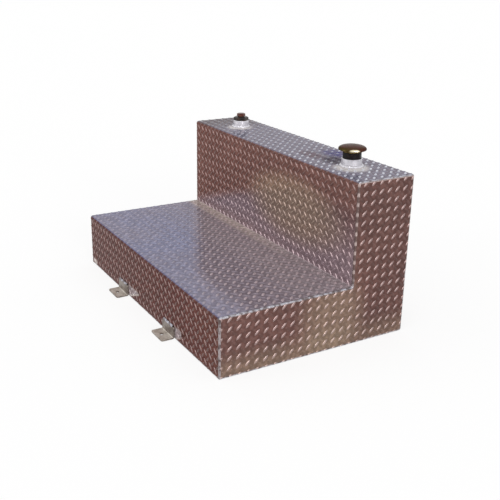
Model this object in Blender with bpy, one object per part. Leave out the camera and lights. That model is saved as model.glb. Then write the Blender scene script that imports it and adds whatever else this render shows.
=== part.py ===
"""Truck bed transfer tank: a stepped fuel tank welded up from aluminium tread plate.

Metres, +Z up. The origin is the middle of the tank's base. +X runs along the tank, across the truck,
-Y is the low front part and +Y the tall back part that stands against the cab wall.
"""
import math

import bmesh
import bpy
from mathutils import Matrix, Vector

# Overall sizes of the tank body, outside to outside.
TANK_LENGTH = 1.0668
TANK_DEPTH = 0.6858
TANK_HEIGHT = 0.5334
DECK_HEIGHT = 0.19685
TALL_DEPTH = 0.2159

# Tread plate, its folds, and the clearance that neighbouring pieces keep.
SHEET = 0.0032
BEND_RADIUS = 0.004
GAP = 0.0003
ARC_STEPS = 6

# Weld beads on the open corner joints, and the fillets round what is welded on.
ROOT_GAP = 0.0012
BEAD_CROWN = 0.0024
BEAD_STEPS = 8
BASE_BEAD_RISE = 0.012
PANEL_CORNER = 0.0010
FILLET_LEG = 0.006

# Baffles: flanged L-shaped sheets with flow holes.
BAFFLE_SPACING = 0.3556
BAFFLE_SHEET = 0.0025
BAFFLE_BEND_RADIUS = 0.003
BAFFLE_FLANGE = 0.022
BAFFLE_NOTCH = 0.030
FLOW_HOLE_RADIUS = 0.038
FLOW_HOLE_SIDES = 32

# Bungs on the top plate, seen from above at the middle of the tall part's depth.
FILLER_FROM_END = 0.1778
PORT_FROM_END = 0.1778
BUNG_HEIGHT = 0.0254
BUNG_DROP = 0.008
BUNG_SHOULDER = 0.0028
BUNG_CHAMFER = 0.0012
ROUND_SIDES = 48

# Filler neck: 2 in pipe, with the cap that screws over its top.
NECK_RADIUS = 0.03015
NECK_WALL = 0.0039
NECK_TOP = 0.0585
NECK_CHAMFER = 0.0008
FILLER_BUNG_WALL = 0.0031
CAP_RADIUS = 0.0457
CAP_RISE = 0.0135
CAP_SHEET = 0.0010
CAP_ROLL_RADIUS = 0.0025
CAP_RIM_HEIGHT = 0.0525
CAP_DOME_STEPS = 9
CAP_ROLL_STEPS = 5
CAP_ROLL_DEGREES = 150.0
CAP_SQUARENESS = 2.4
CAP_THREAD_CLEARANCE = 0.0004
CAP_COLLAR_WALL = 0.0018
CAP_COLLAR_DROP = 0.0115
CAP_FLANGE_THICKNESS = 0.0009
CAP_WEB = 0.0014
CAP_VENT_RADIUS = 0.003
GASKET_THICKNESS = 0.0022
GASKET_WIDTH = 0.0036

# Port: a hexagon reducing bushing closed by a hexagon plug on an O-ring.
BUSHING_FLATS = 0.0508
BUSHING_HEX_HEIGHT = 0.013
BUSHING_SHANK_RADIUS = 0.0241
BUSHING_SHANK = 0.018
PORT_BUNG_WALL = 0.0051
PLUG_FLATS = 0.0286
PLUG_HEX_HEIGHT = 0.0105
PLUG_SHANK_RADIUS = 0.0110
PLUG_SHANK = 0.0135
PLUG_THREAD_CLEARANCE = 0.0004
ORING_SECTION = 0.0022
ORING_STEPS = 8
HEX_CHAMFER_DEGREES = 30.0
HEX_CROWN = 0.96

# Hold-down brackets on the foot of the front wall.
BRACKET_SPACING = 0.386
BRACKET_LENGTH = 0.084
BRACKET_REACH = 0.046
BRACKET_HEIGHT = 0.038
BRACKET_SHEET = 0.0048
BRACKET_BEND_RADIUS = 0.003
BRACKET_CORNER_RADIUS = 0.007
BRACKET_CORNER_STEPS = 4
BRACKET_HOLE_RADIUS = 0.0068
BRACKET_HOLE_OUT = 0.027

HALF_LENGTH = TANK_LENGTH / 2
HALF_DEPTH = TANK_DEPTH / 2
RISER_Y = HALF_DEPTH - TALL_DEPTH
TOP_Y = HALF_DEPTH - TALL_DEPTH / 2
FILLER_X = HALF_LENGTH - FILLER_FROM_END
PORT_X = PORT_FROM_END - HALF_LENGTH
OUTER_BEND = BEND_RADIUS + SHEET
EDGE_BACK = SHEET + ROOT_GAP
SEAM_CORNER = EDGE_BACK + PANEL_CORNER


def clear_scene():
    """Removes whatever the open file holds."""
    for thing in list(bpy.data.objects):
        bpy.data.objects.remove(thing, do_unlink=True)


def finish(thing, colour, roughness, metallic):
    """Gives an object its own material."""
    material = bpy.data.materials.new(thing.name)
    material.use_nodes = True
    shader = material.node_tree.nodes["Principled BSDF"]
    shader.inputs["Base Color"].default_value = (*colour, 1.0)
    shader.inputs["Roughness"].default_value = roughness
    shader.inputs["Metallic"].default_value = metallic
    thing.data.materials.append(material)


def add_object(name, shape, smooth=False):
    """Turns a bmesh into a named object at the world's origin."""
    mesh = bpy.data.meshes.new(name)
    shape.to_mesh(mesh)
    shape.free()
    if smooth:
        mesh.shade_smooth()
        mesh.set_sharp_from_angle(angle=math.radians(35))
    thing = bpy.data.objects.new(name, mesh)
    bpy.context.scene.collection.objects.link(thing)
    return thing


def as_tool(thing):
    """Marks an object as a tool that shapes another one and isn't a piece itself."""
    thing.hide_render = True
    thing.display_type = "WIRE"
    return thing


def combine(thing, operation, tool):
    """Adds a Boolean with another object."""
    boolean = thing.modifiers.new(operation.title(), "BOOLEAN")
    boolean.operation = operation
    boolean.solver = "EXACT"
    boolean.object = tool


def fillet(before, corner, after, radius, steps):
    """Points on the arc that rounds one corner of a path, from the side of before to that of after."""
    towards_before = (before - corner).normalized()
    towards_after = (after - corner).normalized()
    half = towards_before.angle(towards_after) / 2
    centre = corner + (towards_before + towards_after).normalized() * radius / math.sin(half)
    start = corner + towards_before * radius / math.tan(half) - centre
    end = corner + towards_after * radius / math.tan(half) - centre
    sweep = start.angle_signed(end)
    return [centre + rotated(start, -sweep * k / steps) for k in range(steps + 1)]


def rotated(vector, angle):
    """A 2-D vector turned anticlockwise by an angle in radians."""
    cosine, sine = math.cos(angle), math.sin(angle)
    return Vector((vector.x * cosine - vector.y * sine, vector.x * sine + vector.y * cosine))


def rounded_path(corners, closed=False):
    """An outline through (y, z, radius) corners, each one rounded to its radius."""
    spots = [Vector((y, z)) for y, z, _ in corners]
    points = []
    for k, (_, _, radius) in enumerate(corners):
        is_end = not closed and k in (0, len(corners) - 1)
        if is_end or radius <= 0:
            points.append(spots[k])
        else:
            points += fillet(spots[k - 1], spots[k], spots[(k + 1) % len(spots)], radius, ARC_STEPS)
    return points


def tank_corners(inset=0.0):
    """The stepped cross-section, drawn in from the outside by inset: up the front and back along the base."""
    return [
        (-HALF_DEPTH + inset, inset, SEAM_CORNER - inset),
        (-HALF_DEPTH + inset, DECK_HEIGHT - inset, OUTER_BEND - inset),
        (RISER_Y + inset, DECK_HEIGHT - inset, BEND_RADIUS + inset),
        (RISER_Y + inset, TANK_HEIGHT - inset, OUTER_BEND - inset),
        (HALF_DEPTH - inset, TANK_HEIGHT - inset, SEAM_CORNER - inset),
        (HALF_DEPTH - inset, inset, OUTER_BEND - inset),
    ]


def folded_wrap(name, corners):
    """A sheet folded along lines that run in X: its outer skin is drawn, and Solidify gives its thickness."""
    shape = bmesh.new()
    rows = []
    for point in rounded_path(corners):
        left = shape.verts.new((-HALF_LENGTH + EDGE_BACK, point.x, point.y))
        right = shape.verts.new((HALF_LENGTH - EDGE_BACK, point.x, point.y))
        rows.append((left, right))
    for (left, right), (next_left, next_right) in zip(rows, rows[1:]):
        shape.faces.new((left, right, next_right, next_left))
    wrap = add_object(name, shape, smooth=True)
    solid = wrap.modifiers.new("Sheet", "SOLIDIFY")
    solid.thickness = SHEET
    solid.offset = -1
    solid.use_even_offset = True
    return wrap


def extruded(name, outline, start, travel, smooth=False):
    """A closed outline of 3-D points, given thickness along travel."""
    shape = bmesh.new()
    face = shape.faces.new([shape.verts.new(start + point) for point in outline])
    grown = bmesh.ops.extrude_face_region(shape, geom=[face])
    moved = [item for item in grown["geom"] if isinstance(item, bmesh.types.BMVert)]
    bmesh.ops.translate(shape, verts=moved, vec=travel)
    bmesh.ops.recalc_face_normals(shape, faces=shape.faces)
    return add_object(name, shape, smooth)


def turned(name, profile, axis_x, axis_y, base_z, sides=ROUND_SIDES):
    """A piece turned on a lathe from (radius, height) points. Its origin is on its axis."""
    shape = bmesh.new()
    spots = [shape.verts.new((radius, 0.0, height)) for radius, height in profile]
    edges = [shape.edges.new(pair) for pair in zip(spots, spots[1:])]
    if profile[0][0] > 0:
        edges.append(shape.edges.new((spots[-1], spots[0])))
    bmesh.ops.spin(
        shape,
        geom=edges,
        cent=(0, 0, 0),
        axis=(0, 0, 1),
        dvec=(0, 0, 0),
        angle=math.tau,
        steps=sides,
        use_merge=True,
        use_duplicate=False,
    )
    bmesh.ops.remove_doubles(shape, verts=shape.verts, dist=1e-6)
    bmesh.ops.recalc_face_normals(shape, faces=shape.faces)
    piece = add_object(name, shape, smooth=True)
    piece.location = (axis_x, axis_y, base_z)
    return piece


def bead_section(flush):
    """The section of a bead in an open corner joint, as (out, over) from the corner of the two outer faces.

    It fills the notch between the sheets' edges and rounds over from one edge to the other. A flush bead
    is ground level with the face beside it, so the tank can stand on it.
    """
    root = -EDGE_BACK + GAP
    half_chord = (GAP - root) / math.sqrt(2)
    radius = (half_chord**2 + BEAD_CROWN**2) / (2 * BEAD_CROWN)
    centre = (root + GAP) / 2 - (radius - BEAD_CROWN) / math.sqrt(2)
    first = math.atan2(root - centre, GAP - centre)
    last = math.asin(-centre / radius) if flush else math.pi / 2 - first
    arc = []
    for k in range(BEAD_STEPS + 1):
        angle = first + (last - first) * k / BEAD_STEPS
        arc.append((centre + radius * math.cos(angle), centre + radius * math.sin(angle)))
    inside = [(root, 0.0)] if flush else []
    return inside + [(root, root)] + arc


def bridged(name, rings):
    """A solid swept through rings of 3-D points, closed at both ends."""
    shape = bmesh.new()
    loops = [[shape.verts.new(point) for point in ring] for ring in rings]
    for ring, after in zip(loops, loops[1:]):
        for k in range(len(ring)):
            shape.faces.new((ring[k - 1], ring[k], after[k], after[k - 1]))
    shape.faces.new(loops[0])
    shape.faces.new(list(reversed(loops[-1])))
    bmesh.ops.recalc_face_normals(shape, faces=shape.faces)
    return add_object(name, shape, smooth=True)


def outward_normals(path):
    """At each point of a path in the cross-section, the unit vector out of the tank."""
    normals = []
    for k, point in enumerate(path):
        before = path[max(k - 1, 0)]
        after = path[min(k + 1, len(path) - 1)]
        ways = [(b - a).normalized() for a, b in ((before, point), (point, after)) if (b - a).length > 0]
        along = sum(ways, Vector((0, 0))).normalized()
        normals.append(Vector((-along.y, along.x)))
    return normals


def arc_scale(path, k):
    """How much further a corner of a many-sided arc lies than its sides do."""
    if k in (0, len(path) - 1):
        return 1.0
    turn = (path[k] - path[k - 1]).angle(path[k + 1] - path[k])
    return 1 / math.cos(turn / 2)


def end_bead(name, corners, side, flush):
    """A bead along part of the rim of an end panel. side is 1 on the right and -1 on the left."""
    path = rounded_path(corners)
    normals = outward_normals(path)
    rings = []
    for k, (point, normal) in enumerate(zip(path, normals)):
        scale = arc_scale(path, k)
        ring = []
        for out, over in bead_section(flush):
            spot = point + normal * over * scale
            ring.append(Vector((side * (HALF_LENGTH + out), spot.x, spot.y)))
        rings.append(ring)
    return bridged(name, rings)


def long_bead(name, corner_y, corner_z, way_y, way_z, half_length, flush):
    """A bead along X on an open corner between the two folded wraps."""
    rings = []
    for x in (-half_length, half_length):
        ring = [Vector((x, corner_y + way_y * out, corner_z + way_z * over)) for out, over in bead_section(flush)]
        rings.append(ring)
    return bridged(name, rings)


def fillet_section(leg):
    """The section of a fillet weld in the corner of two faces, as (out, up), slightly domed."""
    points = [(0.0, 0.0)]
    dome = leg * 0.12
    for k in range(BEAD_STEPS // 2 + 1):
        share = k / (BEAD_STEPS // 2)
        swell = dome * math.sin(math.pi * share)
        points.append((leg * (1 - share) + swell, leg * share + swell))
    return points


def hexagon(name, flats, height, axis_x, axis_y, base_z):
    """A hexagon with a corner towards +X, the corners of its top turned off at an angle."""
    corner_radius = flats / 2 / math.cos(math.pi / 6)
    outline = [Vector((*rotated(Vector((corner_radius, 0)), k * math.tau / 6), 0)) for k in range(6)]
    block = extruded(name, outline, Vector((0, 0, 0)), Vector((0, 0, height)))
    block.location = (axis_x, axis_y, base_z)
    reach = corner_radius * 1.2
    crown = flats / 2 * HEX_CROWN
    lens = [
        (0.0, height),
        (crown, height),
        (reach, height - (reach - crown) * math.tan(math.radians(HEX_CHAMFER_DEGREES))),
        (reach, -height),
        (0.0, -height),
    ]
    combine(block, "INTERSECT", as_tool(turned(name + "_lens", lens, axis_x, axis_y, base_z)))
    return block


def moving_axis(name, x, y, z, pieces):
    """An empty on a joint's axis, which carries the pieces that move along and about it."""
    axis = bpy.data.objects.new(name, None)
    axis.location = (x, y, z)
    bpy.context.scene.collection.objects.link(axis)
    for piece in pieces:
        piece.parent = axis
        piece.matrix_parent_inverse = Matrix.Translation(-axis.location)


def cylinder_tool(name, radius, start, end, sides=ROUND_SIDES):
    """A round cutter from one point to another."""
    axis = end - start
    shape = bmesh.new()
    bmesh.ops.create_cone(
        shape, cap_ends=True, segments=sides, radius1=radius, radius2=radius, depth=axis.length
    )
    tool = add_object(name, shape)
    tool.rotation_euler = axis.to_track_quat("Z", "Y").to_euler()
    tool.location = (start + end) / 2
    return as_tool(tool)


def make_shell():
    """The two folded wraps, which meet at the front foot and at the top's back edge, and the end panels."""
    front_foot, deck_front, deck_back, top_front, top_back, back_foot = tank_corners()
    front = folded_wrap(
        "front_wrap",
        [
            (front_foot[0], EDGE_BACK, 0),
            deck_front,
            deck_back,
            top_front,
            (HALF_DEPTH - EDGE_BACK, top_back[1], 0),
        ],
    )
    back = folded_wrap(
        "back_wrap",
        [(HALF_DEPTH, TANK_HEIGHT - EDGE_BACK, 0), back_foot, (-HALF_DEPTH + EDGE_BACK, 0, 0)],
    )
    for wrap in (front, back):
        finish(wrap, (0.62, 0.58, 0.58), 0.22, 1.0)
    for name, x in (("left_end_panel", -HALF_LENGTH), ("right_end_panel", HALF_LENGTH - SHEET)):
        outline = [Vector((0, y, z)) for y, z in rounded_path(tank_corners(EDGE_BACK), closed=True)]
        panel = extruded(name, outline, Vector((x, 0, 0)), Vector((SHEET, 0, 0)))
        finish(panel, (0.62, 0.58, 0.58), 0.22, 1.0)
    return front


def make_beads():
    """Beads round both end panels and along the two seams between the wraps."""
    front_foot, deck_front, deck_back, top_front, top_back, back_foot = tank_corners()
    rise = SEAM_CORNER + BASE_BEAD_RISE
    upper = [
        (front_foot[0], rise + GAP, 0),
        deck_front,
        deck_back,
        top_front,
        top_back,
        (back_foot[0], rise + GAP, 0),
    ]
    base = [(back_foot[0], rise, 0), back_foot, front_foot, (front_foot[0], rise, 0)]
    beads = []
    for side, word in ((-1, "left"), (1, "right")):
        beads.append(end_bead(word + "_end_weld", upper, side, flush=False))
        beads.append(end_bead(word + "_base_weld", base, side, flush=True))
    half = HALF_LENGTH - EDGE_BACK
    beads.append(long_bead("top_seam_weld", HALF_DEPTH, TANK_HEIGHT, 1, 1, half, flush=False))
    beads.append(long_bead("base_seam_weld", -HALF_DEPTH, 0, -1, -1, half, flush=True))
    for bead in beads:
        finish(bead, (0.86, 0.86, 0.86), 0.35, 1.0)


def baffle_web(inset):
    """The web's outline as (y, z) points, with the two ends of each edge that carries a flange."""
    corners = [Vector((y, z)) for y, z, _ in tank_corners(inset)]
    outline = []
    flanged = []
    for k, corner in enumerate(corners):
        back = (corners[k - 1] - corner).normalized()
        ahead = (corners[(k + 1) % len(corners)] - corner).normalized()
        outline.append(corner + back * BAFFLE_NOTCH)
        if back.angle_signed(ahead) > 0:
            outline.append(corner)
        flanged.append(len(outline))
        outline.append(corner + ahead * BAFFLE_NOTCH)
    return outline, flanged


def make_baffle(name, x, side):
    """A flanged baffle whose flanges point to side: 1 for +X, -1 for -X."""
    bend = BAFFLE_BEND_RADIUS + BAFFLE_SHEET
    outline, flanged = baffle_web(SHEET + GAP + bend)
    shape = bmesh.new()
    spots = [shape.verts.new((x, y, z)) for y, z in outline]
    web = shape.faces.new(spots)
    for first in flanged:
        pair = (spots[first], spots[(first + 1) % len(spots)])
        along = (pair[1].co - pair[0].co).normalized()
        outward = Vector((0, -along.z, along.y))
        edge = shape.edges.get(pair)
        travels = []
        for k in range(ARC_STEPS):
            angle, after = (math.pi / 2 * step / ARC_STEPS for step in (k, k + 1))
            out = bend * (math.sin(after) - math.sin(angle))
            across = bend * (math.cos(angle) - math.cos(after))
            travels.append(outward * out + Vector((side * across, 0, 0)))
        travels.append(Vector((side * (BAFFLE_FLANGE - bend), 0, 0)))
        for travel in travels:
            grown = bmesh.ops.extrude_edge_only(shape, edges=[edge])["geom"]
            moved = [item for item in grown if isinstance(item, bmesh.types.BMVert)]
            bmesh.ops.translate(shape, verts=moved, vec=travel)
            edge = shape.edges.get(moved)
    bmesh.ops.recalc_face_normals(shape, faces=shape.faces)
    if web.normal.x * side > 0:
        bmesh.ops.reverse_faces(shape, faces=shape.faces)
    baffle = add_object(name, shape, smooth=True)
    solid = baffle.modifiers.new("Sheet", "SOLIDIFY")
    solid.thickness = BAFFLE_SHEET
    solid.offset = -1
    solid.use_even_offset = True
    low_z = DECK_HEIGHT / 2
    deck_run = RISER_Y + HALF_DEPTH
    holes = [
        (-HALF_DEPTH + deck_run / 3, low_z),
        (-HALF_DEPTH + deck_run * 2 / 3, low_z),
        (TOP_Y, low_z),
        (TOP_Y, (DECK_HEIGHT + TANK_HEIGHT) / 2),
    ]
    for k, (y, z) in enumerate(holes):
        reach = Vector((BAFFLE_FLANGE, 0, 0))
        centre = Vector((x, y, z))
        tool_name = f"{name}_hole_{k + 1}"
        tool = cylinder_tool(tool_name, FLOW_HOLE_RADIUS, centre - reach, centre + reach, FLOW_HOLE_SIDES)
        combine(baffle, "DIFFERENCE", tool)
    finish(baffle, (0.60, 0.60, 0.60), 0.40, 1.0)


def make_bung(name, x, bore, wall, plate):
    """A turned bung: a spigot through the top plate, a shoulder on it and a bored boss, welded round its foot."""
    boss = bore + wall
    spigot = boss - BUNG_SHOULDER
    under = -SHEET - BUNG_DROP
    profile = [
        (bore, under),
        (spigot, under),
        (spigot, GAP),
        (boss, GAP),
        (boss, BUNG_HEIGHT - BUNG_CHAMFER),
        (boss - BUNG_CHAMFER, BUNG_HEIGHT),
        (bore, BUNG_HEIGHT),
    ]
    bung = turned(name, profile, x, TOP_Y, TANK_HEIGHT)
    finish(bung, (0.78, 0.78, 0.78), 0.32, 1.0)
    ring = [(boss + GAP + out, GAP + up) for out, up in fillet_section(FILLET_LEG)]
    weld = turned(name + "_weld", ring, x, TOP_Y, TANK_HEIGHT)
    finish(weld, (0.86, 0.86, 0.86), 0.35, 1.0)
    centre = Vector((x, TOP_Y, TANK_HEIGHT))
    reach = Vector((0, 0, SHEET * 2))
    combine(plate, "DIFFERENCE", cylinder_tool(name + "_hole", spigot + GAP, centre - reach, centre + reach))


def offset_outline(points, distance):
    """A path of (radius, height) points moved sideways, to its right, by distance."""
    spots = [Vector(point) for point in points]
    moved = []
    for k, spot in enumerate(spots):
        before = spot - spots[k - 1] if k else spots[1] - spot
        after = spots[k + 1] - spot if k < len(spots) - 1 else before
        along = (before.normalized() + after.normalized()).normalized()
        scale = distance / math.cos(before.angle(after) / 2)
        moved.append(spot + Vector((along.y, -along.x)) * scale)
    return moved


def make_filler():
    """The filler: bung, pipe neck, and the cap of a pressed cover, a threaded hub and a flat gasket."""
    neck_profile = [
        (NECK_RADIUS - NECK_WALL, -BUNG_DROP),
        (NECK_RADIUS - NECK_CHAMFER, -BUNG_DROP),
        (NECK_RADIUS, -BUNG_DROP + NECK_CHAMFER),
        (NECK_RADIUS, NECK_TOP - NECK_CHAMFER),
        (NECK_RADIUS - NECK_CHAMFER, NECK_TOP),
        (NECK_RADIUS - NECK_WALL, NECK_TOP),
    ]
    finish(turned("filler_neck", neck_profile, FILLER_X, TOP_Y, TANK_HEIGHT), (0.10, 0.09, 0.09), 0.35, 0.9)

    rim = (FILLER_X, TOP_Y, TANK_HEIGHT + NECK_TOP)
    gasket_top = GAP + GASKET_THICKNESS
    gasket_profile = [
        (NECK_RADIUS - GASKET_WIDTH, GAP),
        (NECK_RADIUS, GAP),
        (NECK_RADIUS, gasket_top),
        (NECK_RADIUS - GASKET_WIDTH, gasket_top),
    ]
    gasket = turned("filler_cap_gasket", gasket_profile, *rim)
    finish(gasket, (0.03, 0.03, 0.03), 0.70, 0.0)

    roll_z = CAP_RIM_HEIGHT + CAP_ROLL_RADIUS - NECK_TOP
    roll_x = CAP_RADIUS - CAP_ROLL_RADIUS
    thread = NECK_RADIUS + CAP_THREAD_CLEARANCE
    collar = thread + CAP_COLLAR_WALL
    web_low = gasket_top + GAP
    web_high = web_low + CAP_WEB
    flange = CAP_FLANGE_THICKNESS / 2
    hub_profile = [
        (thread, -CAP_COLLAR_DROP),
        (collar, -CAP_COLLAR_DROP),
        (collar, roll_z - flange),
        (roll_x, roll_z - flange),
        (roll_x, roll_z + flange),
        (collar, roll_z + flange),
        (collar, web_high - CAP_WEB),
        (collar - CAP_WEB, web_high),
        (CAP_VENT_RADIUS, web_high),
        (CAP_VENT_RADIUS, web_low),
        (thread, web_low),
    ]
    hub = turned("filler_cap_hub", hub_profile, *rim)
    finish(hub, (0.20, 0.16, 0.12), 0.35, 1.0)

    outer = []
    for k in range(CAP_DOME_STEPS + 1):
        turn = math.pi / 2 * k / CAP_DOME_STEPS
        radius = CAP_RADIUS * math.sin(turn) ** (2 / CAP_SQUARENESS)
        outer.append((radius, roll_z + CAP_RISE * math.cos(turn) ** (2 / CAP_SQUARENESS)))
    for k in range(1, CAP_ROLL_STEPS + 1):
        turn = math.radians(CAP_ROLL_DEGREES) * k / CAP_ROLL_STEPS
        outer.append((roll_x + CAP_ROLL_RADIUS * math.cos(turn), roll_z - CAP_ROLL_RADIUS * math.sin(turn)))
    inner = offset_outline(outer, CAP_SHEET)
    inner[0].x = 0.0
    cover = turned("filler_cap_cover", outer + [tuple(point) for point in reversed(inner)], *rim)
    finish(cover, (0.42, 0.32, 0.20), 0.28, 1.0)
    moving_axis("filler_cap_axis", *rim, (gasket, hub, cover))


def make_port():
    """The port: a hexagon reducing bushing in its bung, closed by a hexagon plug on an O-ring."""
    seat = TANK_HEIGHT + BUNG_HEIGHT + GAP
    bore = PLUG_SHANK_RADIUS + PLUG_THREAD_CLEARANCE
    bushing = hexagon("port_bushing", BUSHING_FLATS, BUSHING_HEX_HEIGHT, PORT_X, TOP_Y, seat)
    inside = BUSHING_HEX_HEIGHT / 2
    shank = turned(
        "port_bushing_shank",
        [(0, -BUSHING_SHANK), (BUSHING_SHANK_RADIUS, -BUSHING_SHANK), (BUSHING_SHANK_RADIUS, inside), (0, inside)],
        PORT_X,
        TOP_Y,
        seat,
    )
    combine(bushing, "UNION", as_tool(shank))
    centre = Vector((PORT_X, TOP_Y, seat))
    through = Vector((0, 0, BUSHING_SHANK + BUSHING_HEX_HEIGHT))
    combine(bushing, "DIFFERENCE", cylinder_tool("port_bushing_bore", bore, centre - through, centre + through))
    finish(bushing, (0.07, 0.05, 0.04), 0.38, 0.9)

    face = seat + BUSHING_HEX_HEIGHT
    ring_middle = ORING_SECTION / 2
    ring_radius = PLUG_SHANK_RADIUS + GAP + ring_middle
    profile = []
    for k in range(ORING_STEPS):
        turn = math.tau * (k + 0.5) / ORING_STEPS
        profile.append((ring_radius + ring_middle * math.cos(turn), GAP + ring_middle * (1 + math.sin(turn))))
    oring = turned("port_plug_oring", profile, PORT_X, TOP_Y, face)
    finish(oring, (0.03, 0.03, 0.03), 0.60, 0.0)

    head_low = ORING_SECTION + 2 * GAP
    plug = hexagon("port_plug", PLUG_FLATS, PLUG_HEX_HEIGHT, PORT_X, TOP_Y, face + head_low)
    grip = PLUG_HEX_HEIGHT / 2
    low = -PLUG_SHANK - head_low
    shank = turned(
        "port_plug_shank",
        [(0, low), (PLUG_SHANK_RADIUS, low), (PLUG_SHANK_RADIUS, grip), (0, grip)],
        PORT_X,
        TOP_Y,
        face + head_low,
    )
    combine(plug, "UNION", as_tool(shank))
    finish(plug, (0.22, 0.10, 0.07), 0.34, 0.9)
    moving_axis("port_plug_axis", PORT_X, TOP_Y, face, (oring, plug))


def make_bracket(name, x):
    """A folded angle: its foot lies on the truck's bed with a bolt hole, and its leg is welded to the wall."""
    wall_y = -HALF_DEPTH - GAP
    outer = rounded_path(
        [
            (wall_y, BRACKET_HEIGHT, 0),
            (wall_y, 0, BRACKET_BEND_RADIUS + BRACKET_SHEET),
            (wall_y - BRACKET_REACH, 0, 0),
        ]
    )
    inner = [tuple(point) for point in offset_outline(outer, BRACKET_SHEET)]
    outline = [Vector((0, y, z)) for y, z in [tuple(point) for point in outer] + inner[::-1]]
    half = BRACKET_LENGTH / 2
    angle = extruded(name, outline, Vector((x - half, 0, 0)), Vector((BRACKET_LENGTH, 0, 0)))
    shape = bmesh.new()
    shape.from_mesh(angle.data)
    ends = []
    for edge in shape.edges:
        spots = [vert.co for vert in edge.verts]
        across = abs(spots[0].x - spots[1].x) < GAP
        at_toe = all(spot.y < wall_y - BRACKET_REACH + GAP for spot in spots)
        at_top = all(spot.z > BRACKET_HEIGHT - GAP for spot in spots)
        if across and (at_toe or at_top):
            ends.append(edge)
    bmesh.ops.bevel(
        shape,
        geom=ends,
        offset=BRACKET_CORNER_RADIUS,
        segments=BRACKET_CORNER_STEPS,
        profile=0.5,
        affect="EDGES",
    )
    shape.to_mesh(angle.data)
    shape.free()
    angle.data.shade_smooth()
    angle.data.set_sharp_from_angle(angle=math.radians(35))
    hole = Vector((x, wall_y - BRACKET_HOLE_OUT, 0))
    reach = Vector((0, 0, BRACKET_SHEET * 2))
    drill = cylinder_tool(name + "_hole", BRACKET_HOLE_RADIUS, hole - reach, hole + reach, FLOW_HOLE_SIDES)
    combine(angle, "DIFFERENCE", drill)
    finish(angle, (0.60, 0.57, 0.54), 0.40, 1.0)

    run = half - BRACKET_CORNER_RADIUS
    foot = Vector((x - run, wall_y, BRACKET_HEIGHT + GAP))
    section = [Vector((0, -out, up)) for out, up in fillet_section(BRACKET_SHEET)]
    weld = extruded(name + "_weld", section, foot, Vector((2 * run, 0, 0)), smooth=True)
    finish(weld, (0.86, 0.86, 0.86), 0.35, 1.0)


def main():
    clear_scene()
    front = make_shell()
    make_beads()
    for side, word in ((-1, "left"), (1, "right")):
        make_baffle(word + "_baffle", side * BAFFLE_SPACING / 2, side)
        make_bracket(word + "_bracket", side * BRACKET_SPACING / 2)
    make_bung("filler_bung", FILLER_X, NECK_RADIUS + GAP, FILLER_BUNG_WALL, front)
    make_bung("port_bung", PORT_X, BUSHING_SHANK_RADIUS + GAP, PORT_BUNG_WALL, front)
    make_filler()
    make_port()
    bpy.context.view_layer.update()


main()
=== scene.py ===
import math
import random
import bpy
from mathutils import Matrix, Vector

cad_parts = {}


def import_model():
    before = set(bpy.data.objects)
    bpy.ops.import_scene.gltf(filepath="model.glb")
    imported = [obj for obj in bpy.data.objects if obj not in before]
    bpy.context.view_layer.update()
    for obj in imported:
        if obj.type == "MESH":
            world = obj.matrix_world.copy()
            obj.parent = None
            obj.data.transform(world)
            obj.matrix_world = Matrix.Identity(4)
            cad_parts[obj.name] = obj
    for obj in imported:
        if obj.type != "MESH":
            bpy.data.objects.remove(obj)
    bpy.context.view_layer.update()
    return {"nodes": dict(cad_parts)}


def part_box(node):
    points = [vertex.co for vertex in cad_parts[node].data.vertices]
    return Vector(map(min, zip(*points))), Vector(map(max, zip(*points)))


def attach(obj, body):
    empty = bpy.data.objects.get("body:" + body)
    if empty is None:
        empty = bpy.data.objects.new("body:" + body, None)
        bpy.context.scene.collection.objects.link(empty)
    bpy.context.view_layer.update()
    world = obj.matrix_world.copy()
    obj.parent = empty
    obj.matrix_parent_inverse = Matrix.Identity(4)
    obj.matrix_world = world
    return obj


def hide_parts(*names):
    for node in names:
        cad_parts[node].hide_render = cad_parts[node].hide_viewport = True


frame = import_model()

from types import SimpleNamespace

import bmesh
import bpy
from mathutils import Matrix, Vector

# The tank's skin: 1/8 in aluminium tread plate as it comes from the mill, 42 x 27 x 21 in over all. Two
# sheets are folded on a press brake, one into front wall, deck, riser and top, the other into back wall
# and base, and two L-shaped panels close the ends. Every bend is rounded to the brake's nose.
PANEL_LOW, PANEL_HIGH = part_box("right_end_panel")
FRONT_LOW, FRONT_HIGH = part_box("front_wrap")
BACK_LOW, BACK_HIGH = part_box("back_wrap")
HALF_LENGTH = PANEL_HIGH.x
HALF_DEPTH = BACK_HIGH.y
TANK_HEIGHT = FRONT_HIGH.z
WRAP_END = FRONT_HIGH.x
DECK_HEIGHT = 0.19685
TALL_DEPTH = 0.2159
RISER_Y = HALF_DEPTH - TALL_DEPTH
INNER_BEND = 0.004
OUTER_BEND = 0.0072


class Value:
    """A number that varies over a surface. Each operator adds the Math node that works it out."""

    def __init__(self, maker, socket):
        self.maker = maker
        self.socket = socket

    def __add__(self, other):
        return self.maker.maths("ADD", self, other)

    __radd__ = __add__

    def __mul__(self, other):
        return self.maker.maths("MULTIPLY", self, other)

    __rmul__ = __mul__

    def __sub__(self, other):
        return self.maker.maths("SUBTRACT", self, other)

    def __rsub__(self, other):
        return self.maker.maths("SUBTRACT", other, self)

    def __truediv__(self, other):
        return self.maker.maths("DIVIDE", self, other)

    def __abs__(self):
        return self.maker.maths("ABSOLUTE", self)


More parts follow.
